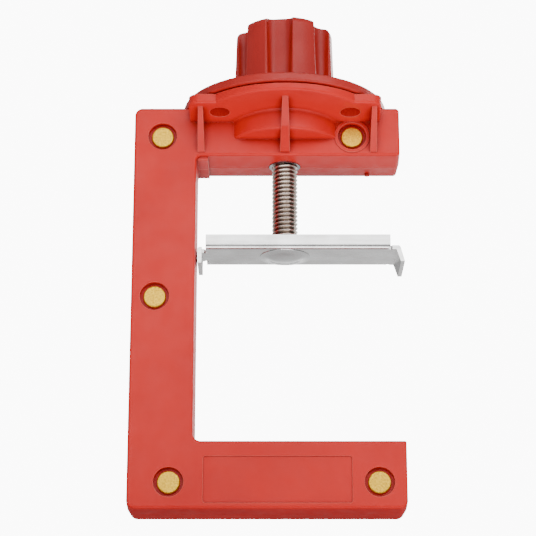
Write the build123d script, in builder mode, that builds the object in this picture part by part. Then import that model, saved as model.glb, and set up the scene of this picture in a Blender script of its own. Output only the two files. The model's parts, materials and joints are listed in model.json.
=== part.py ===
"""Lockable C-shaped screw clamp, built piece by piece in millimetres.

Frame: +Z up along the clamp screw, -Y towards the lock flange, origin at the foot
of the screw axis on the base plane. The two frame shells part on y = 0.
"""
import math
import os

from build123d import *

os.makedirs("parts", exist_ok=True)

OVER = 1.0                  # cutters run on past a face, joined shapes run into each other

# ---------------------------------------------------------------- frame shells
FRONT_DEPTH = 11.5          # parting plane to the front face
BACK_DEPTH = 11.0           # parting plane to the back face
DRAFT = 2.0                 # degrees, every outer wall leans in from the parting plane
WALL = 2.4
FACE_EDGE_R = 0.9
SPINE_X0, SPINE_X1 = -56.1, -32.4
ARM_X1 = 42.9
BASE_FLAT = 0.25            # the foot and the jaw are shaved flat by this much
LOWER_ARM_TOP = 24.55
UPPER_ARM_Z0, UPPER_ARM_Z1 = 131.3, 150.9
DISC_SEAT_Z = 150.0         # floor of the round seat under the knob's disc
DISC_SEAT_R = 38.5
CORNER_R = 3.2              # outer corners of the C
TIP_R = 1.8                 # corners at the ends of the arms
JAW_TIP_R = 1.0
JAW_LEAD = 0.2              # the jaw flat starts this far short of the throat corner
THROAT_LOW_R = 2.4
THROAT_HIGH_R = 1.6
CORNER_PAD_W = 4.0          # low pad in the throat's upper corner
CORNER_PAD_H = 0.9
CORNER_PAD_INSET = 1.6
SEAM_CHAMFER = 0.22         # V groove round the parting line
INNER_RIB_T = 1.6
SPINE_RIB_Z = (38.0, 52.0, 64.0, 92.0, 106.0, 120.0)
LOWER_RIB_X = (-26.0, -12.0, 2.0, 18.0)

# The C at the parting plane, (x, z)
C_POINTS = ((SPINE_X0, -BASE_FLAT), (ARM_X1, -BASE_FLAT), (ARM_X1, LOWER_ARM_TOP),
            (SPINE_X1, LOWER_ARM_TOP),
            (SPINE_X1, UPPER_ARM_Z0), (ARM_X1, UPPER_ARM_Z0), (ARM_X1, UPPER_ARM_Z1),
            (SPINE_X0, UPPER_ARM_Z1))

# Blank label recess on the lower arm
PANEL_X0, PANEL_X1 = -29.0, 23.2
PANEL_Z0, PANEL_Z1 = 2.1, 18.6
PANEL_DEPTH = 0.35
PANEL_CORNER_R = 0.8

# ---------------------------------------------------------------- rivets
RIVET_XZ = ((-45.3, 139.2), (24.9, 139.2), (-47.2, 77.3), (-41.1, 9.5), (32.8, 9.5))
RIVET_SHANK_R = 2.2
RIVET_HOLE_R = 2.25
RIVET_HEAD_R = 4.1
RIVET_HEAD_H = 1.3
RIVET_BORE_R = 1.5
RIVET_BORE_DEPTH = 4.0
RIVET_CLENCH_R = 3.3
RIVET_CLENCH_H = 0.8
RIVET_HEAD_EDGE_R = 0.6
RIVET_CLENCH_EDGE_R = 0.5
RECESS_R = 5.3
FRONT_RECESS_DEPTH = 2.2
BACK_RECESS_DEPTH = 2.0
RIVET_BOSS_R = 6.4
WASHER_R = 4.6
WASHER_T = 0.8

# ---------------------------------------------------------------- lock flange
FLANGE_R = 36.7
FLANGE_Y = -FRONT_DEPTH + OVER      # the flange, boss and gussets start inside the wall
FLANGE_TOP = 149.7
FLANGE_RIM_Z = FLANGE_TOP - 2.6     # underside at the rim, at y = -DISC_R
FLANGE_AXIS_Z = FLANGE_RIM_Z - 3.2  # the same slope carried on to y = 0
EAR_X1 = 35.3
EAR_Y = -26.5
EAR_CORNER_R = 4.0
UNDER_EDGE_R = 1.0          # lower edges of the flange and the boss
BOSS_ROOT_R = 0.8           # where the boss meets the flange
BOSS_R = 22.1
BOSS_Z0 = 138.1
RIB_SIDE_X = (-31.0, 32.7)
RIB_SIDE_T = (1.6, 2.6)     # thickness at the flange and at the foot
RIB_SIDE_TOP_Y = -25.0
RIB_MID_T = (1.8, 3.6)
RIB_MID_TOP_Y = -33.0
RIB_FOOT_Z = 132.9
RIB_SIDE_FOOT = 0.4         # the ribs stand this far off the wall at their feet
RIB_MID_FOOT = 1.2
RIB_MID_KNEE = (-23.2, 138.5)       # (y, z) where the middle rib turns in under the boss
RING_WALL = 1.2             # raised ring round the recess beside the flange
RING_PROUD = 0.35
GATE_MARK = (31.2, -7.6)    # stub left by the moulding gate under the back shell's upper arm
GATE_MARK_R = 0.9
GATE_MARK_H = 0.6

# ---------------------------------------------------------------- padlock holes
LOCK_HOLE_R = 3.7
LOCK_PITCH_R = 30.7
LOCK_HOLE_COUNT = 14
LOCK_FIRST_DEG = -90 + 2 * 360 / LOCK_HOLE_COUNT    # lines up with the right-hand flange hole

# ---------------------------------------------------------------- knob
DISC_R = 38.05
DISC_Z0 = 150.3
DISC_T = 3.1
DISC_EDGE_R = 0.5
GRIP_R = 19.15
GRIP_TOP = 186.3
GRIP_SHOULDER_Z = 185.3     # the crown rises from here at the lobes to a flat in the middle
CROWN_FLAT_R = 13.0
GRIP_LOBES = 6
GRIP_FIRST_LOBE_DEG = -66.5
GRIP_FLOOR_R = 14.2
FLUTE_W = 7.8
FLUTE_EDGE_R = 1.3
FLUTE_FLOOR_R = 2.0
GRIP_DRAFT = 1.7            # degrees
GRIP_TOP_EDGE_R = 3.0
CROWN_CLEAR = 0.03          # the crown's cutter stays this far outside the lobes
HUB_R = 8.2
HUB_Z0 = 145.2
SOCKET_TOP_R = 10.5
SOCKET_TOP_Z = 174.2
KNOB_BORE_R = 6.25

# ---------------------------------------------------------------- sleeve nut
SLEEVE_R = 6.2
SLEEVE_END_R = 5.8
SLEEVE_Z0, SLEEVE_Z1 = 131.2, 176.6
SLEEVE_END_Z = 136.9
SLEEVE_BORE_R = 4.81
COLLAR_R = 8.0
COLLAR_Z0, COLLAR_Z1 = 137.8, 140.4
HEX_AF = 14.0
HEX_Z0, HEX_Z1 = 153.4, 174.1
HEX_CLEAR = 0.05
HEX_END_CLEAR = 0.1
GROOVE_Z0, GROOVE_Z1 = 174.35, 175.55
GROOVE_R = 5.5
RING_T = 1.0
RING_R = 8.6
RING_GAP = 2.4
THRUST_WASHER_T = 1.0
THRUST_WASHER_R0, THRUST_WASHER_R1 = 6.3, 8.0
PLAY = 0.05                 # running clearance, each side
POCKET_R = 8.25
LOWER_HOLE_R = 6.0
NECK_HOLE_R = 6.5
HUB_HOLE_R = 8.4
HUB_GAP = 0.3               # under the knob's hub
HOUSING_R = 13.0

# ---------------------------------------------------------------- clamp screw, 3/8-16
SCREW_R = 4.7625
SCREW_END_CHAMFER = 0.9
SCREW_TOP = 182.2
HEAD_R = 9.3
HEAD_T = 1.5
HEAD_DOME = 0.9
SQUARE_NECK = 9.6
SQUARE_HOLE = 9.7

# ---------------------------------------------------------------- pressure plate
PLATE_Z = 95.8              # underside of the web at rest
PLATE_T = 1.5
PLATE_X0, PLATE_X1 = -29.0, 38.4
PLATE_W = 20.8
PLATE_FLANGE_H = 5.3
PLATE_BEND_R = 1.6
PLATE_INNER_R = 0.5
TAB_DROP = 4.6
LEFT_NECK_W = 10.0
LEFT_TAB_W = 15.0
LEFT_TAB_X = -32.0          # outer face of the tab that rides on the spine
RIGHT_TAB_W = 18.6
RIGHT_TONGUE_X = 40.6
RIGHT_TAB_FLARE = 1.5
TAB_BEND = 0.5              # bevel on the outside of the tab bends
NOTCH_R = 0.7
PUSH_RING_R = 8.2
PUSH_RING_T = 0.9
PUSH_RING_SLOTS = 6
PUSH_SLOT_L, PUSH_SLOT_W = 2.2, 0.8


def corner(sketch, x, z):
    """The sketch vertex nearest to (x, z)."""
    return sketch.vertices().sort_by_distance((x, z, 0))[0]


def round_corners(sketch):
    """Round every corner of the C in the current sketch."""
    convex = [(SPINE_X0, -BASE_FLAT, CORNER_R), (ARM_X1, -BASE_FLAT, CORNER_R),
              (SPINE_X0, UPPER_ARM_Z1, CORNER_R),
              (ARM_X1, LOWER_ARM_TOP, JAW_TIP_R), (ARM_X1, UPPER_ARM_Z0, TIP_R),
              (ARM_X1, UPPER_ARM_Z1, TIP_R)]
    throat = [(SPINE_X1, LOWER_ARM_TOP, THROAT_LOW_R), (SPINE_X1, UPPER_ARM_Z0, THROAT_HIGH_R)]
    for x, z, radius in convex + throat:
        fillet(corner(sketch, x, z), radius)


def screw_housing():
    """Bores and pocket that hold the sleeve nut, and the round seat under the disc."""
    pocket_z0 = COLLAR_Z0 - THRUST_WASHER_T - 2 * PLAY
    pocket_z1 = COLLAR_Z1 + THRUST_WASHER_T + 2 * PLAY
    with BuildPart() as bores:
        with BuildSketch(Plane.XZ):
            with BuildLine():
                Polyline((0, UPPER_ARM_Z0 - OVER), (LOWER_HOLE_R, UPPER_ARM_Z0 - OVER),
                         (LOWER_HOLE_R, pocket_z0), (POCKET_R, pocket_z0), (POCKET_R, pocket_z1),
                         (NECK_HOLE_R, pocket_z1), (NECK_HOLE_R, HUB_Z0 - HUB_GAP),
                         (HUB_HOLE_R, HUB_Z0 - HUB_GAP), (HUB_HOLE_R, UPPER_ARM_Z1 + OVER),
                         (0, UPPER_ARM_Z1 + OVER), close=True)
            make_face()
        revolve(axis=Axis.Z)
        with BuildSketch(Plane.XY.offset(DISC_SEAT_Z)):
            Circle(DISC_SEAT_R)
        extrude(amount=UPPER_ARM_Z1 - DISC_SEAT_Z + OVER)
    return bores.part


def half_frame(depth, recess_depth):
    """One hollow half of the C, standing out from y = 0 towards -Y."""
    with BuildPart() as half:
        with BuildSketch(Plane.XZ) as outer:
            Polygon(*C_POINTS, align=None)
            round_corners(outer)
        extrude(amount=depth, taper=DRAFT)
        fillet(half.faces().sort_by(Axis.Y)[0].edges(), FACE_EDGE_R)
        with BuildSketch(Plane.XZ):
            with Locations(((SPINE_X0 + ARM_X1) / 2, -BASE_FLAT)):
                Rectangle(2 * (ARM_X1 - SPINE_X0), 2 * BASE_FLAT)
            with Locations(((SPINE_X1 + THROAT_LOW_R + ARM_X1) / 2, LOWER_ARM_TOP)):
                Rectangle(ARM_X1 - SPINE_X1 - THROAT_LOW_R + JAW_LEAD, 2 * BASE_FLAT)
        extrude(amount=depth, mode=Mode.SUBTRACT)
        chamfer(half.faces().sort_by(Axis.Y)[-1].edges(), SEAM_CHAMFER)
        solid = half.part

        # Hollow it from the parting plane, leaving the wall all round
        with BuildSketch(Plane.XZ):
            Polygon(*C_POINTS, align=None)
            offset(amount=-WALL, kind=Kind.INTERSECTION, mode=Mode.REPLACE)
        extrude(amount=depth - WALL, taper=DRAFT, mode=Mode.SUBTRACT)

        # Cross ribs, rivet posts and the screw housing, trimmed to the outer shape
        floor = depth - WALL / 2
        with BuildPart(mode=Mode.PRIVATE) as inside:
            with BuildSketch(Plane.XZ):
                for z in SPINE_RIB_Z:
                    with Locations(((SPINE_X0 + SPINE_X1) / 2, z)):
                        Rectangle(SPINE_X1 - SPINE_X0 - WALL, INNER_RIB_T)
                for x in LOWER_RIB_X:
                    with Locations((x, LOWER_ARM_TOP / 2)):
                        Rectangle(INNER_RIB_T, LOWER_ARM_TOP - WALL)
                with Locations(*RIVET_XZ):
                    Circle(RIVET_BOSS_R)
                with Locations((0, (UPPER_ARM_Z0 + UPPER_ARM_Z1) / 2)):
                    Rectangle(2 * HOUSING_R, UPPER_ARM_Z1 - UPPER_ARM_Z0)
            extrude(amount=floor)
        add(inside.part & solid)
        with BuildSketch(Plane.XZ):
            with Locations((SPINE_X1 + CORNER_PAD_W / 2, UPPER_ARM_Z0)):
                Rectangle(CORNER_PAD_W, 2 * CORNER_PAD_H)
        extrude(amount=depth - CORNER_PAD_INSET)

        with BuildSketch(Plane.XZ.offset(depth - recess_depth)):
            with Locations(*RIVET_XZ):
                Circle(RECESS_R)
        extrude(amount=recess_depth + OVER, mode=Mode.SUBTRACT)
        with BuildSketch(Plane.XZ):
            with Locations(*RIVET_XZ):
                Circle(RIVET_HOLE_R)
        extrude(amount=depth, mode=Mode.SUBTRACT)
    return half.part


def slab(plane, profile, thickness):
    """Solid of the given profile, its thickness centred on the plane."""
    with BuildPart() as solid:
        with BuildSketch(plane):
            Polygon(*profile, align=None)
        extrude(amount=thickness / 2, both=True)
    return solid.part


def in_front_of_wall(sketch_plane, radius):
    """Full circle cut back to the part in front of the wall."""
    with BuildSketch(sketch_plane) as plan:
        Circle(radius)
        with Locations((0, radius + FLANGE_Y)):
            Rectangle(3 * radius, 2 * radius, mode=Mode.SUBTRACT)
    return plan.sketch


def lock_flange():
    """Flange with an ear at each end, sloping underneath, and the boss that carries the screw."""
    foot_z = FLANGE_AXIS_Z - OVER
    far_y = -1.2 * FLANGE_R
    far_z = FLANGE_AXIS_Z + (FLANGE_RIM_Z - FLANGE_AXIS_Z) * far_y / -FLANGE_R
    with BuildPart() as flange:
        with BuildSketch(Plane.XY.offset(foot_z)) as plan:
            add(in_front_of_wall(Plane.XY, FLANGE_R))
            with Locations((0, (EAR_Y + FLANGE_Y) / 2)):
                Rectangle(2 * EAR_X1, FLANGE_Y - EAR_Y)
            for side in (-1, 1):
                fillet(corner(plan, side * EAR_X1, EAR_Y), EAR_CORNER_R)
        extrude(amount=FLANGE_TOP - foot_z)
        add(slab(Plane.YZ, ((0, FLANGE_AXIS_Z), (far_y, far_z), (far_y, foot_z - OVER),
                            (0, foot_z - OVER)), 3 * FLANGE_R), mode=Mode.SUBTRACT)
        underside = flange.faces().sort_by(Axis.Z)[0]
        fillet(underside.edges().sort_by(Axis.Y)[:-1], UNDER_EDGE_R)

        with BuildSketch(Plane.XY.offset(BOSS_Z0)):
            add(in_front_of_wall(Plane.XY, BOSS_R))
        extrude(amount=FLANGE_TOP - BOSS_Z0)
        fillet(flange.faces().sort_by(Axis.Z)[0].edges().sort_by(Axis.Y)[0], UNDER_EDGE_R)
        junction = [edge for edge in flange.edges() if edge.geom_type != GeomType.LINE
                    and abs((edge @ 0.5).Y + BOSS_R) < 0.01
                    and FLANGE_AXIS_Z < (edge @ 0.5).Z < FLANGE_RIM_Z]
        fillet(junction, BOSS_ROOT_R)
    return flange.part


def gusset(x, thickness, profile):
    """Upright rib under the flange, profile in (y, z), thicker at its foot than at its top."""
    top_z, foot_z = FLANGE_TOP, RIB_FOOT_Z
    top_t, foot_t = thickness
    front_view = ((x - foot_t / 2, foot_z), (x + foot_t / 2, foot_z),
                  (x + top_t / 2, top_z), (x - top_t / 2, top_z))
    with BuildPart() as rib:
        add(slab(Plane.YZ.offset(x), profile, 2 * foot_t))
        add(slab(Plane.XZ, front_view, 4 * FLANGE_R), mode=Mode.INTERSECT)
    return rib.part


front_half = half_frame(FRONT_DEPTH, FRONT_RECESS_DEPTH)

with BuildPart() as front_shell:
    add(front_half)

    # Low raised ring round the recess next to the flange
    with BuildSketch(Plane.XZ.offset(FRONT_DEPTH - OVER)):
        with Locations(RIVET_XZ[1]):
            Circle(RECESS_R + RING_WALL)
            Circle(RECESS_R, mode=Mode.SUBTRACT)
    extrude(amount=OVER + RING_PROUD)

    add(lock_flange())
    for rib_x in RIB_SIDE_X:
        add(gusset(rib_x, RIB_SIDE_T, ((FLANGE_Y, FLANGE_RIM_Z), (RIB_SIDE_TOP_Y, FLANGE_RIM_Z),
                                       (-FRONT_DEPTH - RIB_SIDE_FOOT, RIB_FOOT_Z),
                                       (FLANGE_Y, RIB_FOOT_Z))))
    add(gusset(0.0, RIB_MID_T, ((FLANGE_Y, FLANGE_RIM_Z + OVER / 2),
                                (RIB_MID_TOP_Y, FLANGE_RIM_Z + OVER / 2), RIB_MID_KNEE,
                                (-FRONT_DEPTH - RIB_MID_FOOT, RIB_FOOT_Z),
                                (FLANGE_Y, RIB_FOOT_Z))))

    add(screw_housing(), mode=Mode.SUBTRACT)

    with BuildSketch(Plane.XY.offset(BOSS_Z0)):
        for angle in (LOCK_FIRST_DEG, -180 - LOCK_FIRST_DEG):
            with PolarLocations(LOCK_PITCH_R, 1, start_angle=angle):
                Circle(LOCK_HOLE_R)
    extrude(amount=FLANGE_TOP - BOSS_Z0 + OVER, mode=Mode.SUBTRACT)

    with BuildSketch(Plane.XZ.offset(FRONT_DEPTH - PANEL_DEPTH)) as panel:
        with Locations(((PANEL_X0 + PANEL_X1) / 2, (PANEL_Z0 + PANEL_Z1) / 2)):
            RectangleRounded(PANEL_X1 - PANEL_X0, PANEL_Z1 - PANEL_Z0, PANEL_CORNER_R)
    extrude(amount=PANEL_DEPTH + OVER, mode=Mode.SUBTRACT)
front_shell.part.label = "front_shell"
export_step(front_shell.part, "parts/front_shell.step")

with BuildPart() as back_shell:
    add(half_frame(BACK_DEPTH, BACK_RECESS_DEPTH))
    add(screw_housing(), mode=Mode.SUBTRACT)
    with BuildSketch(Plane.XY.offset(UPPER_ARM_Z0 - GATE_MARK_H)):
        with Locations(GATE_MARK):
            Circle(GATE_MARK_R)
    extrude(amount=GATE_MARK_H + OVER)
    mirror(about=Plane.XZ, mode=Mode.REPLACE)
back_shell.part.label = "back_shell"
export_step(back_shell.part, "parts/back_shell.step")

# Hollow brass rivets and the washers they are clenched over
for number, (rivet_x, rivet_z) in enumerate(RIVET_XZ, start=1):
    head_plane = Plane(origin=(rivet_x, -FRONT_DEPTH + FRONT_RECESS_DEPTH, rivet_z),
                       x_dir=(1, 0, 0), z_dir=(0, -1, 0))
    length = FRONT_DEPTH - FRONT_RECESS_DEPTH + BACK_DEPTH - BACK_RECESS_DEPTH + WASHER_T
    with BuildPart() as rivet:
        with BuildSketch(head_plane):
            Circle(RIVET_HEAD_R)
        extrude(amount=RIVET_HEAD_H)
        fillet(rivet.edges().sort_by(Axis.Y)[0], RIVET_HEAD_EDGE_R)
        with BuildSketch(head_plane):
            Circle(RIVET_SHANK_R)
        extrude(amount=-length)
        with BuildSketch(head_plane.offset(-length)):
            Circle(RIVET_CLENCH_R)
        extrude(amount=-RIVET_CLENCH_H)
        fillet(rivet.edges().sort_by(Axis.Y)[-1], RIVET_CLENCH_EDGE_R)
        with BuildSketch(head_plane.offset(-length - RIVET_CLENCH_H)):
            Circle(RIVET_BORE_R)
        extrude(amount=RIVET_BORE_DEPTH, mode=Mode.SUBTRACT)
    rivet.part.label = f"rivet_{number}"
    export_step(rivet.part, f"parts/rivet_{number}.step")

    with BuildPart() as washer:
        with BuildSketch(head_plane.offset(-length)):
            Circle(WASHER_R)
            Circle(RIVET_HOLE_R, mode=Mode.SUBTRACT)
        extrude(amount=WASHER_T)
    washer.part.label = f"rivet_washer_{number}"
    export_step(washer.part, f"parts/rivet_washer_{number}.step")

# Knob: fluted grip on a disc with a ring of padlock holes
with BuildPart() as knob:
    disc_top = DISC_Z0 + DISC_T
    grip_foot = disc_top - OVER / 2
    flute_length = GRIP_R - GRIP_FLOOR_R + OVER
    with BuildSketch(Plane.XY.offset(grip_foot)) as grip_plan:
        Circle(GRIP_R)
        with PolarLocations(GRIP_FLOOR_R + flute_length / 2, GRIP_LOBES,
                            start_angle=GRIP_FIRST_LOBE_DEG + 180 / GRIP_LOBES):
            Rectangle(flute_length, FLUTE_W, mode=Mode.SUBTRACT)
        fillet(grip_plan.vertices().group_by(SortBy.DISTANCE)[-1], FLUTE_EDGE_R)
        fillet(grip_plan.vertices().group_by(SortBy.DISTANCE)[0], FLUTE_FLOOR_R)
    extrude(amount=GRIP_TOP - grip_foot + OVER, taper=GRIP_DRAFT)
    lean = math.tan(math.radians(GRIP_DRAFT))
    crown_r = GRIP_R + CROWN_CLEAR - lean * (GRIP_SHOULDER_Z - disc_top)
    crown_foot_r = crown_r + lean * (GRIP_SHOULDER_Z - disc_top + OVER)
    with BuildSketch(Plane.XZ) as crown:
        Polygon((0, disc_top - OVER), (crown_foot_r, disc_top - OVER), (crown_r, GRIP_SHOULDER_Z),
                (CROWN_FLAT_R, GRIP_TOP), (0, GRIP_TOP), align=None)
        fillet(corner(crown, crown_r, GRIP_SHOULDER_Z), GRIP_TOP_EDGE_R)
    revolve(axis=Axis.Z, mode=Mode.INTERSECT)
    with BuildSketch(Plane.XY.offset(DISC_Z0)):
        Circle(DISC_R)
    extrude(amount=DISC_T)
    fillet(knob.edges().filter_by(GeomType.CIRCLE).filter_by(
        lambda edge: abs(edge.radius - DISC_R) < 0.01), DISC_EDGE_R)
    with BuildSketch(Plane.XY.offset(HUB_Z0)):
        Circle(HUB_R)
    extrude(amount=DISC_Z0 - HUB_Z0 + OVER / 2)
    with BuildSketch(Plane.XY.offset(DISC_Z0 - OVER)):
        with PolarLocations(LOCK_PITCH_R, LOCK_HOLE_COUNT, start_angle=LOCK_FIRST_DEG):
            Circle(LOCK_HOLE_R)
    extrude(amount=DISC_T + 2 * OVER, mode=Mode.SUBTRACT)
    with BuildSketch(Plane.XY.offset(HUB_Z0 - OVER)):
        Circle(KNOB_BORE_R)
    extrude(amount=GRIP_TOP, mode=Mode.SUBTRACT)
    with BuildSketch(Plane.XY.offset(HEX_Z0 - HEX_END_CLEAR)):
        RegularPolygon(HEX_AF / 2 + HEX_CLEAR, 6, major_radius=False)
    extrude(amount=SOCKET_TOP_Z - HEX_Z0 + HEX_END_CLEAR, mode=Mode.SUBTRACT)
    with BuildSketch(Plane.XY.offset(SOCKET_TOP_Z)):
        Circle(SOCKET_TOP_R)
    extrude(amount=GRIP_TOP - SOCKET_TOP_Z + OVER, mode=Mode.SUBTRACT)
knob.part.label = "knob"
export_step(knob.part, "parts/knob.step")

# Sleeve nut: collar caught between the shells, hexagon keyed into the knob
with BuildPart() as sleeve_nut:
    with BuildSketch(Plane.XZ):
        with BuildLine():
            Polyline((SLEEVE_BORE_R, SLEEVE_Z0), (SLEEVE_END_R, SLEEVE_Z0),
                     (SLEEVE_END_R, SLEEVE_END_Z), (SLEEVE_R, SLEEVE_END_Z), (SLEEVE_R, COLLAR_Z0),
                     (COLLAR_R, COLLAR_Z0), (COLLAR_R, COLLAR_Z1), (SLEEVE_R, COLLAR_Z1),
                     (SLEEVE_R, GROOVE_Z0), (GROOVE_R, GROOVE_Z0), (GROOVE_R, GROOVE_Z1),
                     (SLEEVE_R, GROOVE_Z1), (SLEEVE_R, SLEEVE_Z1), (SLEEVE_BORE_R, SLEEVE_Z1),
                     close=True)
        make_face()
    revolve(axis=Axis.Z)
    with BuildSketch(Plane.XY.offset(HEX_Z0)):
        RegularPolygon(HEX_AF / 2, 6, major_radius=False)
        Circle(SLEEVE_BORE_R, mode=Mode.SUBTRACT)
    extrude(amount=HEX_Z1 - HEX_Z0)
sleeve_nut.part.label = "sleeve_nut"
export_step(sleeve_nut.part, "parts/sleeve_nut.step")

for name, washer_z in (("thrust_washer_lower", COLLAR_Z0 - THRUST_WASHER_T - PLAY),
                       ("thrust_washer_upper", COLLAR_Z1 + PLAY)):
    with BuildPart() as thrust_washer:
        with BuildSketch(Plane.XY.offset(washer_z)):
            Circle(THRUST_WASHER_R1)
            Circle(THRUST_WASHER_R0, mode=Mode.SUBTRACT)
        extrude(amount=THRUST_WASHER_T)
    thrust_washer.part.label = name
    export_step(thrust_washer.part, f"parts/{name}.step")

# Snap ring in the sleeve's top groove keeps the knob on
with BuildPart() as snap_ring:
    with BuildSketch(Plane.XY.offset((GROOVE_Z0 + GROOVE_Z1 - RING_T) / 2)):
        Circle(RING_R)
        Circle(GROOVE_R + PLAY, mode=Mode.SUBTRACT)
        with Locations((0, RING_R)):
            Rectangle(RING_GAP, 2 * RING_R, mode=Mode.SUBTRACT)
    extrude(amount=RING_T)
snap_ring.part.label = "snap_ring"
export_step(snap_ring.part, "parts/snap_ring.step")

# Clamp screw: round-headed carriage bolt, square neck in the plate
with BuildPart() as clamp_screw:
    head_base = PLATE_Z - PLAY
    dome_r = (HEAD_R ** 2 + HEAD_DOME ** 2) / (2 * HEAD_DOME)
    with Locations((0, 0, head_base - HEAD_T + dome_r)):
        Sphere(dome_r)
    with BuildSketch(Plane.XY.offset(head_base)):
        Circle(HEAD_R)
    extrude(amount=-HEAD_T - OVER, mode=Mode.INTERSECT)
    with BuildSketch(Plane.XY.offset(head_base)):
        Rectangle(SQUARE_NECK, SQUARE_NECK)
    extrude(amount=PLATE_T + 2 * PLAY)
    with BuildSketch(Plane.XY.offset(head_base)):
        Circle(SCREW_R)
    extrude(amount=SCREW_TOP - head_base)
    chamfer(clamp_screw.edges().sort_by(Axis.Z)[-1], SCREW_END_CHAMFER)
clamp_screw.part.label = "clamp_screw"
export_step(clamp_screw.part, "parts/clamp_screw.step")

# Pressure plate: channel with turned-up sides and a bent tab at each end
with BuildPart() as pressure_plate:
    half_w = PLATE_W / 2
    with BuildSketch(Plane.YZ.offset(PLATE_X0)) as channel:
        with BuildLine():
            Polyline((-half_w, PLATE_Z), (half_w, PLATE_Z), (half_w, PLATE_Z + PLATE_FLANGE_H),
                     (half_w - PLATE_T, PLATE_Z + PLATE_FLANGE_H),
                     (half_w - PLATE_T, PLATE_Z + PLATE_T), (-half_w + PLATE_T, PLATE_Z + PLATE_T),
                     (-half_w + PLATE_T, PLATE_Z + PLATE_FLANGE_H),
                     (-half_w, PLATE_Z + PLATE_FLANGE_H), close=True)
        make_face()
        for side in (-1, 1):
            fillet(corner(channel, side * half_w, PLATE_Z), PLATE_BEND_R)
            fillet(corner(channel, side * (half_w - PLATE_T), PLATE_Z + PLATE_T), PLATE_INNER_R)
    extrude(amount=PLATE_X1 - PLATE_X0)
    web_top = PLATE_Z + PLATE_T
    tab_foot = PLATE_Z - TAB_DROP
    add(slab(Plane.XZ, ((PLATE_X0 + OVER, PLATE_Z), (PLATE_X0 + OVER, web_top),
                        (LEFT_TAB_X + TAB_BEND, web_top), (LEFT_TAB_X + TAB_BEND, PLATE_Z)),
             LEFT_NECK_W))
    add(slab(Plane.XZ, ((LEFT_TAB_X, web_top - TAB_BEND), (LEFT_TAB_X + TAB_BEND, web_top),
                        (LEFT_TAB_X + PLATE_T, web_top), (LEFT_TAB_X + PLATE_T, tab_foot),
                        (LEFT_TAB_X, tab_foot)), LEFT_TAB_W))
    add(slab(Plane.XZ, ((PLATE_X1 - OVER, PLATE_Z), (PLATE_X1 - OVER, web_top),
                        (RIGHT_TONGUE_X + PLATE_T - TAB_BEND, web_top),
                        (RIGHT_TONGUE_X + PLATE_T, web_top - TAB_BEND),
                        (RIGHT_TONGUE_X + PLATE_T + RIGHT_TAB_FLARE, tab_foot),
                        (RIGHT_TONGUE_X + RIGHT_TAB_FLARE, tab_foot),
                        (RIGHT_TONGUE_X, PLATE_Z)), RIGHT_TAB_W))
    with BuildSketch(Plane.XY.offset(PLATE_Z - OVER)):
        Rectangle(SQUARE_HOLE, SQUARE_HOLE)
        for side in (-1, 1):
            with Locations((PLATE_X0, side * LEFT_NECK_W / 2),
                           (PLATE_X1, side * RIGHT_TAB_W / 2)):
                Circle(NOTCH_R)
    extrude(amount=PLATE_T + 2 * OVER, mode=Mode.SUBTRACT)
pressure_plate.part.label = "pressure_plate"
export_step(pressure_plate.part, "parts/pressure_plate.step")

# Push-on ring that holds the screw in the plate
with BuildPart() as push_ring:
    with BuildSketch(Plane.XY.offset(PLATE_Z + PLATE_T + 2 * PLAY)):
        Circle(PUSH_RING_R)
        Circle(SCREW_R + PLAY, mode=Mode.SUBTRACT)
        with PolarLocations(SCREW_R + PUSH_SLOT_L / 2, PUSH_RING_SLOTS):
            Rectangle(PUSH_SLOT_L, PUSH_SLOT_W, mode=Mode.SUBTRACT)
    extrude(amount=PUSH_RING_T)
push_ring.part.label = "push_ring"
export_step(push_ring.part, "parts/push_ring.step")
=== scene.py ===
import json
import math

import bmesh
import bpy
from mathutils import Matrix, Vector


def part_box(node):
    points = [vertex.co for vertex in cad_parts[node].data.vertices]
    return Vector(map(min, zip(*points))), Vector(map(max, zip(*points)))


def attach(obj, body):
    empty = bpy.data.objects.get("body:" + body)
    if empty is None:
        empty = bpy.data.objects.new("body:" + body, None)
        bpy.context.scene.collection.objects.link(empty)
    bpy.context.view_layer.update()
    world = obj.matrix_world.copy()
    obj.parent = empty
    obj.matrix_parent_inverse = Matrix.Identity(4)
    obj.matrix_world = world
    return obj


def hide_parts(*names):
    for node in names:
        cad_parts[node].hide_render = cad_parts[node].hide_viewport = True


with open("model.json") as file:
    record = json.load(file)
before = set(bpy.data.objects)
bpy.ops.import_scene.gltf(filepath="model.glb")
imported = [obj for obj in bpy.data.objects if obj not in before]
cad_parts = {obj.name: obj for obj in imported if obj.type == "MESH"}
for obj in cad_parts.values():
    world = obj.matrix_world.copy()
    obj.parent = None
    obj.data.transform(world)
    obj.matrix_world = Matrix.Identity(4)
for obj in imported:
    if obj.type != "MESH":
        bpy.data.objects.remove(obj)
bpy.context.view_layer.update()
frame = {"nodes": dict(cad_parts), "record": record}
nodes = frame["nodes"]

MM = 0.001


# ------------------------------------------------------------------ node helpers
WHITE = (1, 1, 1, 1)


def map_range(tree, value, at, to):
    """Node that maps a value from the span `at` to the span `to`, held at both ends."""
    node = tree.nodes.new("ShaderNodeMapRange")
    node.inputs["From Min"].default_value, node.inputs["From Max"].default_value = at
    node.inputs["To Min"].default_value, node.inputs["To Max"].default_value = to
    tree.links.new(value, node.inputs["Value"])
    return node.outputs[0]


def combine(tree, operation, a, b):
    """Node that joins two values with a math operation such as ADD or MAXIMUM."""
    node = tree.nodes.new("ShaderNodeMath")
    node.operation = operation
    tree.links.new(a, node.inputs[0])
    tree.links.new(b, node.inputs[1])
    return node.outputs[0]


def mix_shaders(tree, fac, a, b):
    """Node that shows shader a where fac is 0 and shader b where it is 1."""
    node = tree.nodes.new("ShaderNodeMixShader")
    tree.links.new(fac, node.inputs[0])
    tree.links.new(a, node.inputs[1])
    tree.links.new(b, node.inputs[2])
    return node.outputs[0]


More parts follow.
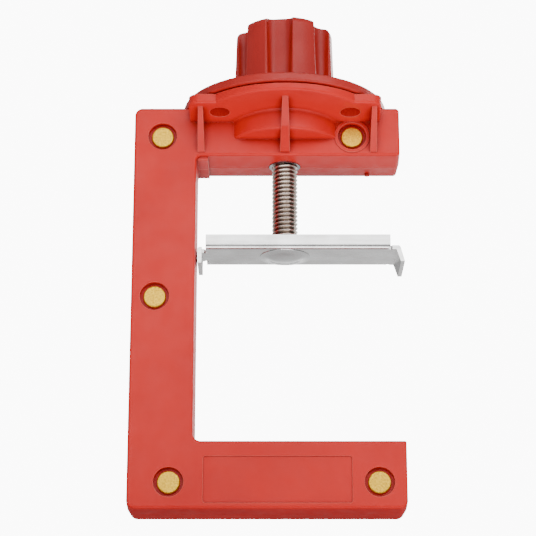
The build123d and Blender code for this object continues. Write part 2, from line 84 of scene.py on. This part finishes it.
def add_shaders(tree, a, b):
    node = tree.nodes.new("ShaderNodeAddShader")
    tree.links.new(a, node.inputs[0])
    tree.links.new(b, node.inputs[1])
    return node.outputs[0]


AO_SAMPLES = 8                  # for the painted crevice shade
EDGE_SAMPLES = 6                # for both nodes that find edges
CREVICE_SPAN = (0.15, 0.95)     # occlusion over which the painted crevice shade goes from dark to plain
TURN_SPAN = (0.86, 0.985)       # agreement of rounded and true normal over which an edge fades
EXPOSED_SPAN = (0.75, 0.98)     # occlusion over which an edge counts as convex


class Graph:
    """A material's node tree, with short calls to add nodes and link them."""

    def __init__(self, name):
        self.mat = bpy.data.materials.new(name)
        self.mat.use_nodes = True
        self.tree = self.mat.node_tree
        self.tree.nodes.clear()
        self.out = self.tree.nodes.new("ShaderNodeOutputMaterial")
        self.bsdf = self.tree.nodes.new("ShaderNodeBsdfPrincipled")
        self.link(self.bsdf.outputs[0], self.out.inputs["Surface"])
        self.coord = self.tree.nodes.new("ShaderNodeTexCoord").outputs["Object"]

    def link(self, a, b):
        self.tree.links.new(a, b)

    def set(self, **values):
        for key, value in values.items():
            self.bsdf.inputs[key.replace("_", " ")].default_value = value

    def noise(self, scale, detail=2.0, rough=0.5, stretch=(1, 1, 1)):
        mapping = self.tree.nodes.new("ShaderNodeMapping")
        mapping.inputs["Scale"].default_value = stretch
        self.link(self.coord, mapping.inputs["Vector"])
        tex = self.tree.nodes.new("ShaderNodeTexNoise")
        tex.inputs["Scale"].default_value = scale
        tex.inputs["Detail"].default_value = detail
        tex.inputs["Roughness"].default_value = rough
        self.link(mapping.outputs[0], tex.inputs["Vector"])
        return tex.outputs["Fac"]

    def ramp(self, fac, lo, hi, at=(0.3, 0.7)):
        return map_range(self.tree, fac, at, (lo, hi))

    def colour(self, fac, a, b, at=(0.3, 0.7)):
        node = self.tree.nodes.new("ShaderNodeMix")
        node.data_type = "RGBA"
        node.inputs["A"].default_value = (*a, 1)
        node.inputs["B"].default_value = (*b, 1)
        self.link(self.ramp(fac, 0, 1, at), node.inputs["Factor"])
        return node.outputs["Result"]

    def crevice_shade(self, colour, reach, dark):
        """Painted shade: darken a colour where surfaces meet or face each other within a short
        reach.
        """
        ao = self.tree.nodes.new("ShaderNodeAmbientOcclusion")
        ao.samples = AO_SAMPLES
        ao.only_local = True
        ao.inputs["Distance"].default_value = reach
        mix = self.tree.nodes.new("ShaderNodeMix")
        mix.data_type = "RGBA"
        mix.blend_type = "MULTIPLY"
        mix.inputs["B"].default_value = (dark, dark, dark, 1)
        self.link(self.ramp(ao.outputs["AO"], 1, 0, CREVICE_SPAN), mix.inputs["Factor"])
        self.link(colour, mix.inputs["A"])
        return mix.outputs["Result"]

    def edge_light(self, colour, reach, tint, amount):
        """Blend a tint into a colour along convex edges; on the plastic the tint is paler, a
        painted highlight where moulded plastic shines.
        """
        geo = self.tree.nodes.new("ShaderNodeNewGeometry")
        bevel = self.tree.nodes.new("ShaderNodeBevel")
        bevel.samples = EDGE_SAMPLES
        bevel.inputs["Radius"].default_value = reach
        dot = self.tree.nodes.new("ShaderNodeVectorMath")
        dot.operation = "DOT_PRODUCT"
        self.link(geo.outputs["Normal"], dot.inputs[0])
        self.link(bevel.outputs[0], dot.inputs[1])
        ao = self.tree.nodes.new("ShaderNodeAmbientOcclusion")
        ao.samples = EDGE_SAMPLES
        ao.only_local = True
        ao.inputs["Distance"].default_value = reach
        turned = self.ramp(dot.outputs["Value"], amount, 0, TURN_SPAN)
        exposed = self.ramp(ao.outputs["AO"], 0, 1, EXPOSED_SPAN)
        convex = combine(self.tree, "MULTIPLY", turned, exposed)
        mix = self.tree.nodes.new("ShaderNodeMix")
        mix.data_type = "RGBA"
        mix.inputs["B"].default_value = (*tint, 1)
        self.link(convex, mix.inputs["Factor"])
        self.link(colour, mix.inputs["A"])
        return mix.outputs["Result"], bevel.outputs[0]

    def bump(self, fac, distance, strength=1.0, below=None):
        node = self.tree.nodes.new("ShaderNodeBump")
        node.inputs["Strength"].default_value = strength
        node.inputs["Distance"].default_value = distance
        self.link(fac, node.inputs["Height"])
        if below is not None:
            self.link(below, node.inputs["Normal"])
        return node.outputs[0]


def plastic(name, dark, light, rough, specular):
    """Moulded nylon: fine spark-eroded grain, faint flow marks, slight colour drift, a painted
    highlight along convex edges and painted shade in crevices.
    """
    g = Graph(name)
    g.set(IOR=1.5, Specular_IOR_Level=specular)
    drift = g.colour(g.noise(38, 4), dark, light, (0.35, 0.65))
    # Painted highlight: a paler red tint along the convex edges
    edge_highlit, rounded = g.edge_light(drift, 0.45 * MM, EDGE_HIGHLIGHT, 0.8)
    # Painted shade: darker in recesses and where surfaces meet
    g.link(g.crevice_shade(edge_highlit, 3.0 * MM, 0.30), g.bsdf.inputs["Base Color"])
    g.link(g.ramp(g.noise(160, 5), *rough), g.bsdf.inputs["Roughness"])
    grain = g.bump(g.noise(2600, 3, 0.6), 0.06 * MM, 0.5, rounded)
    waves = g.bump(g.noise(55, 2), 0.4 * MM, 0.12, grain)
    g.link(waves, g.bsdf.inputs["Normal"])
    return g.mat


def metal(name, a, b, rough, scale, bump=0.02 * MM):
    """Bare metal with uneven polish; scale sets how fine the marks are."""
    g = Graph(name)
    g.set(Metallic=1.0)
    g.link(g.colour(g.noise(scale * 0.3, 4), a, b), g.bsdf.inputs["Base Color"])
    marks = g.noise(scale, 4, 0.6)
    g.link(g.ramp(marks, *rough), g.bsdf.inputs["Roughness"])
    g.link(g.bump(marks, bump, 0.6), g.bsdf.inputs["Normal"])
    return g.mat


def sheet_metal(name):
    """Pressed sheet: streaks along its length, dull blotches, darker cut edges."""
    g = Graph(name)
    g.set(Metallic=1.0)
    blotch = g.colour(g.noise(130, 5), (0.68, 0.67, 0.66), (0.86, 0.86, 0.86))
    edged, _ = g.edge_light(blotch, 0.3 * MM, (0.26, 0.22, 0.20), 0.9)
    g.link(edged, g.bsdf.inputs["Base Color"])
    streaks = g.noise(900, 4, 0.6, (0.05, 1, 1))
    g.link(g.ramp(streaks, 0.14, 0.36), g.bsdf.inputs["Roughness"])
    g.link(g.bump(streaks, 0.02 * MM, 0.5), g.bsdf.inputs["Normal"])
    return g.mat


ROOT_DARK_SPAN = (3.9 * MM, 4.65 * MM)      # radius over which the dark brown roots give way to bare crest


def screw_metal(name, head_top):
    """Rolled thread with bare steel crests and dark brown roots; the head is not darkened."""
    g = Graph(name)
    g.set(Metallic=1.0)
    axes = g.tree.nodes.new("ShaderNodeSeparateXYZ")
    g.link(g.coord, axes.inputs[0])
    flat = g.tree.nodes.new("ShaderNodeCombineXYZ")
    g.link(axes.outputs["X"], flat.inputs["X"])
    g.link(axes.outputs["Y"], flat.inputs["Y"])
    radius = g.tree.nodes.new("ShaderNodeVectorMath")
    radius.operation = "LENGTH"
    g.link(flat.outputs[0], radius.inputs[0])
    head = g.ramp(axes.outputs["Z"], 1, 0, (head_top, head_top + 0.2 * MM))
    crest = g.ramp(radius.outputs["Value"], 0, 1, ROOT_DARK_SPAN)
    bare_steel = combine(g.tree, "MAXIMUM", crest, head)
    steel = g.tree.nodes.new("ShaderNodeMix")
    steel.data_type = "RGBA"
    g.link(head, steel.inputs["Factor"])
    g.link(g.colour(g.noise(160, 4), (0.70, 0.63, 0.56), (0.84, 0.77, 0.70)), steel.inputs["A"])
    steel.inputs["B"].default_value = (0.80, 0.80, 0.80, 1)
    # Dark brown in the thread roots; bare steel on the crests and the head
    root_dark = g.tree.nodes.new("ShaderNodeMix")
    root_dark.data_type = "RGBA"
    root_dark.inputs["A"].default_value = (0.15, 0.105, 0.08, 1)
    g.link(steel.outputs["Result"], root_dark.inputs["B"])
    g.link(bare_steel, root_dark.inputs["Factor"])
    g.link(root_dark.outputs["Result"], g.bsdf.inputs["Base Color"])
    marks = g.noise(700, 4, 0.6)
    g.link(g.ramp(marks, 0.14, 0.30), g.bsdf.inputs["Roughness"])
    g.link(g.bump(marks, 0.02 * MM, 0.6), g.bsdf.inputs["Normal"])
    return g.mat


# Paler red painted along the plastic's convex edges as a highlight
EDGE_HIGHLIGHT = (0.95, 0.20, 0.15)
SHELL_RED = plastic("shell_red", (0.63, 0.011, 0.007), (0.71, 0.016, 0.011), (0.34, 0.48), 0.28)
KNOB_RED = plastic("knob_red", (0.42, 0.014, 0.010), (0.50, 0.021, 0.015), (0.34, 0.48), 0.38)
BRASS = metal("rivet_brass", (0.62, 0.33, 0.016), (1.0, 0.66, 0.060), (0.26, 0.60), 5000,
              bump=0.08 * MM)
SCREW_STEEL = screw_metal("screw_steel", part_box("pressure_plate")[0].z + 6 * MM)
SLEEVE_STEEL = metal("sleeve_steel", (0.38, 0.38, 0.39), (0.48, 0.48, 0.49), (0.20, 0.32), 400)
SPRING_STEEL = metal("spring_steel", (0.30, 0.30, 0.31), (0.40, 0.40, 0.41), (0.25, 0.40), 500)
WASHER_STEEL = metal("washer_steel", (0.55, 0.55, 0.57), (0.68, 0.68, 0.70), (0.25, 0.40), 500)
PLATE_STEEL = sheet_metal("plate_steel")

FINISH = {"shell_red": SHELL_RED, "knob_red": KNOB_RED, "rivet_brass": BRASS,
          "screw_steel": SCREW_STEEL, "sleeve_steel": SLEEVE_STEEL, "spring_steel": SPRING_STEEL,
          "washer_steel": WASHER_STEEL, "plate_steel": PLATE_STEEL}
SMOOTH_ANGLE = math.radians(35)
for part in frame["record"]["subparts"]:
    mesh = nodes[part["node"]].data
    mesh.materials.clear()
    mesh.materials.append(FINISH[part["material_slot"]])
    mesh.shade_smooth()
    mesh.set_sharp_from_angle(angle=SMOOTH_ANGLE)


# ------------------------------------------------------------------ threaded screw
SCREW_R = 4.7625 * MM
PITCH = 1.5875 * MM
THREAD_H = 0.92 * MM
SEGMENTS = 72
# Height of the thread flank over one pitch, from the crest's start: (phase, height 0..1)
PROFILE = ((0.0, 1.0), (0.10, 1.0), (0.14, 0.96), (0.32, 0.5), (0.50, 0.06), (0.54, 0.0),
           (0.62, 0.0), (0.66, 0.06), (0.82, 0.5), (0.96, 0.96))


def new_piece(name, bm, material):
    mesh = bpy.data.meshes.new(name)
    bmesh.ops.recalc_face_normals(bm, faces=bm.faces)
    bm.to_mesh(mesh)
    bm.free()
    mesh.materials.append(material)
    mesh.shade_smooth()
    mesh.set_sharp_from_angle(angle=SMOOTH_ANGLE)
    obj = bpy.data.objects.new(name, mesh)
    bpy.context.scene.collection.objects.link(obj)
    return obj


def thread_tube(bm, z0, z1, runout):
    """Right-hand thread between z0 and z1, fading to the core at the top end."""
    turns = math.ceil((z1 - z0) / PITCH) + 1
    rows = []
    for turn in range(turns):
        for phase, height in PROFILE:
            row = []
            for s in range(SEGMENTS):
                z = z0 + (turn - 1 + phase + s / SEGMENTS) * PITCH
                z = min(max(z, z0), z1)
                fade = min(1.0, (z1 - z) / runout)
                r = SCREW_R - THREAD_H * (1 - height * fade)
                a = 2 * math.pi * s / SEGMENTS
                row.append(bm.verts.new((r * math.cos(a), r * math.sin(a), z)))
            rows.append(row)
    per_turn = len(PROFILE)
    for i in range(len(rows) - 1):
        for s in range(SEGMENTS - 1):
            bm.faces.new((rows[i][s], rows[i][s + 1], rows[i + 1][s + 1], rows[i + 1][s]))
        if i + per_turn + 1 < len(rows):
            a, b = rows[i][-1], rows[i + 1][-1]
            c, d = rows[i + 1 + per_turn][0], rows[i + per_turn][0]
            bm.faces.new((a, d, c, b))


def revolve(bm, profile, segments=96):
    """Closed surface of revolution about Z from (radius, z) points; radius 0 ends it."""
    rings = []
    for r, z in profile:
        if r == 0:
            rings.append([bm.verts.new((0, 0, z))])
        else:
            rings.append([bm.verts.new((r * math.cos(2 * math.pi * s / segments),
                                        r * math.sin(2 * math.pi * s / segments), z))
                          for s in range(segments)])
    for lower, upper in zip(rings, rings[1:]):
        for s in range(segments):
            t = (s + 1) % segments
            quad = [lower[s % len(lower)], lower[t % len(lower)],
                    upper[t % len(upper)], upper[s % len(upper)]]
            face = []
            for v in quad:
                if v not in face:
                    face.append(v)
            bm.faces.new(face)


# The head is a low dome in a thin flat rim, (radius, height above its lowest point) in mm
HEAD_PROFILE = ((0, 0), (1.5, 0.03), (3.0, 0.13), (4.2, 0.30), (5.2, 0.56), (6.0, 0.86),
                (6.7, 1.07), (7.6, 1.24), (8.6, 1.34), (9.3, 1.38))
HEAD_R = 9.3 * MM
HEAD_SINK = 0.06 * MM           # gap between the head's top and the plate's web
WEB_RISE = 1.55 * MM            # the web's underside, above the head's lowest point
NECK_W = 9.6 * MM
NECK_H = 1.7 * MM
NECK_RISE = 0.75 * MM           # the neck's middle, above the web's underside
THREAD_RISE = 1.6 * MM          # where the thread starts, above the web's underside
THREAD_RUNOUT = 1.2 * MM
CORE_GAP = 0.02 * MM            # the core stands this far inside the thread's root
WELD = 1e-7

screw_lo, screw_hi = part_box("clamp_screw")
web_z = screw_lo.z + WEB_RISE
bm = bmesh.new()
thread_tube(bm, web_z + THREAD_RISE, screw_hi.z, THREAD_RUNOUT)
bmesh.ops.remove_doubles(bm, verts=bm.verts, dist=WELD)
head_top = web_z - HEAD_SINK
revolve(bm, [(r * MM, screw_lo.z + h * MM) for r, h in HEAD_PROFILE]
        + [(HEAD_R, head_top), (0, head_top)])
bmesh.ops.create_cube(bm, size=1, matrix=(
    Matrix.Translation((0, 0, web_z + NECK_RISE)) @ Matrix.Diagonal((NECK_W, NECK_W, NECK_H, 1))))
core_r = SCREW_R - THREAD_H - CORE_GAP
core_top = screw_hi.z - CORE_GAP
revolve(bm, [(0, core_top), (core_r, core_top), (core_r, web_z), (0, web_z)])
screw = new_piece("threaded_screw", bm, SCREW_STEEL)
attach(screw, "screw")
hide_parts("clamp_screw")

# ------------------------------------------------------------------ floor
FLOOR_Z = -0.4 * MM
FLOOR_SIZE = 4.0
FLOOR_GREY = 0.66
# Each pair below is a span of places in metres and the values it runs between
GLOW_BEHIND = ((0.22, 0.75), (0.03, 1.1))       # along y: glow strength
GLOW_ACROSS = ((-0.10, 0.10), (-0.06, 0.06))    # along x: added to the glow
CONTACT = ((0.012, 0.060), (0.50, 1.0))         # off the part's mid plane: tint from below
OPEN_FRONT = ((0.02, 0.10), (1.0, 0.0))         # along y: how far reflections pass through
CAMERA_GLOW = 1.6                               # extra glow that only the camera sees


def floor_material():
    """Pale bench top that glows a little, and lets looks and light through from below.

    The camera stands under the floor, so the underside is clear to it. Shadow rays pass too,
    for the light below, and so do reflections in front of the part, so that metal there
    reflects the studio. A tint near the foot stands in for the contact shadow.
    """
    mat = bpy.data.materials.new("bench")
    mat.use_nodes = True
    tree = mat.node_tree
    tree.nodes.clear()
    out = tree.nodes.new("ShaderNodeOutputMaterial")
    geo = tree.nodes.new("ShaderNodeNewGeometry")
    path = tree.nodes.new("ShaderNodeLightPath")
    place = tree.nodes.new("ShaderNodeSeparateXYZ")
    tree.links.new(geo.outputs["Position"], place.inputs[0])

    top = tree.nodes.new("ShaderNodeBsdfDiffuse")
    top.inputs["Color"].default_value = (FLOOR_GREY, FLOOR_GREY, FLOOR_GREY, 1)
    glow = tree.nodes.new("ShaderNodeEmission")
    glow.inputs["Color"].default_value = WHITE
    behind = map_range(tree, place.outputs["Y"], *GLOW_BEHIND)
    across = map_range(tree, place.outputs["X"], *GLOW_ACROSS)
    tree.links.new(combine(tree, "ADD", behind, across), glow.inputs["Strength"])
    bench = add_shaders(tree, top.outputs[0], glow.outputs[0])
    pale = tree.nodes.new("ShaderNodeEmission")
    pale.inputs["Color"].default_value = WHITE
    pale.inputs["Strength"].default_value = CAMERA_GLOW
    whitened = add_shaders(tree, bench, pale.outputs[0])
    opaque = mix_shaders(tree, path.outputs["Is Camera Ray"], bench, whitened)

    off_plane = tree.nodes.new("ShaderNodeMath")
    off_plane.operation = "ABSOLUTE"
    tree.links.new(place.outputs["Y"], off_plane.inputs[0])
    contact = map_range(tree, off_plane.outputs[0], *CONTACT)
    clear = tree.nodes.new("ShaderNodeBsdfTransparent")
    tint = combine(tree, "MAXIMUM", path.outputs["Is Camera Ray"], contact)
    tree.links.new(tint, clear.inputs["Color"])

    under = combine(tree, "MAXIMUM", geo.outputs["Backfacing"], path.outputs["Is Shadow Ray"])
    front = map_range(tree, place.outputs["Y"], *OPEN_FRONT)
    mirrored = combine(tree, "MULTIPLY", path.outputs["Is Glossy Ray"], front)
    through = combine(tree, "MAXIMUM", under, mirrored)
    surface = mix_shaders(tree, through, opaque, clear.outputs[0])
    tree.links.new(surface, out.inputs["Surface"])
    return mat


bm = bmesh.new()
bmesh.ops.create_grid(bm, x_segments=1, y_segments=1, size=FLOOR_SIZE)
floor = new_piece("floor", bm, floor_material())
floor.location = (0, 0, FLOOR_Z)

# ------------------------------------------------------------------ light
MIDDLE = (0, 0, 0.09)           # all lights aim here, half way up the part
# name, place, size in metres, power in watts
LIGHTS = (("key", (0.22, -0.80, 0.42), (1.1, 0.5), 5.9),
          ("fill", (-0.45, -0.75, 0.10), (0.5, 0.5), 1.2),
          ("low", (0.05, -0.30, -0.66), (0.9, 0.5), 6.8),
          ("back", (0.55, 0.70, 0.45), (0.6, 0.5), 6.0))
STUDIO_LIT = 0.40               # how strongly the surroundings light the part
STUDIO_SEEN = 10.5              # how bright they look to the camera

for name, place, size, power in LIGHTS:
    data = bpy.data.lights.new(name, "AREA")
    data.shape = "RECTANGLE"
    data.size, data.size_y = size
    data.energy = power
    light = bpy.data.objects.new(name, data)
    light.location = place
    aim = Vector(MIDDLE) - Vector(place)
    light.rotation_euler = aim.to_track_quat("-Z", "Y").to_euler()
    bpy.context.scene.collection.objects.link(light)


def background(tree, strength):
    node = tree.nodes.new("ShaderNodeBackground")
    node.inputs["Color"].default_value = WHITE
    node.inputs["Strength"].default_value = strength
    return node.outputs[0]


world = bpy.data.worlds.new("studio")
bpy.context.scene.world = world
world.use_nodes = True
tree = world.node_tree
tree.nodes.clear()
out = tree.nodes.new("ShaderNodeOutputWorld")
path = tree.nodes.new("ShaderNodeLightPath")
surroundings = mix_shaders(tree, path.outputs["Is Camera Ray"],
                           background(tree, STUDIO_LIT), background(tree, STUDIO_SEEN))
tree.links.new(surroundings, out.inputs["Surface"])

# ------------------------------------------------------------------ camera
# It looks up at the object from below its middle, square to the front face
CAM_PLACE = (-0.00626, -0.6424, -0.1169)
CAM_ELEVATION = math.radians(17.98)
CAM_LENS = 123.07
CAM_SENSOR = 36.0
cam_data = bpy.data.cameras.new("camera")
cam_data.lens = CAM_LENS
cam_data.sensor_width = CAM_SENSOR
camera = bpy.data.objects.new("camera", cam_data)
camera.location = CAM_PLACE
camera.rotation_euler = (math.pi / 2 + CAM_ELEVATION, 0, 0)
bpy.context.scene.collection.objects.link(camera)
bpy.context.scene.camera = camera
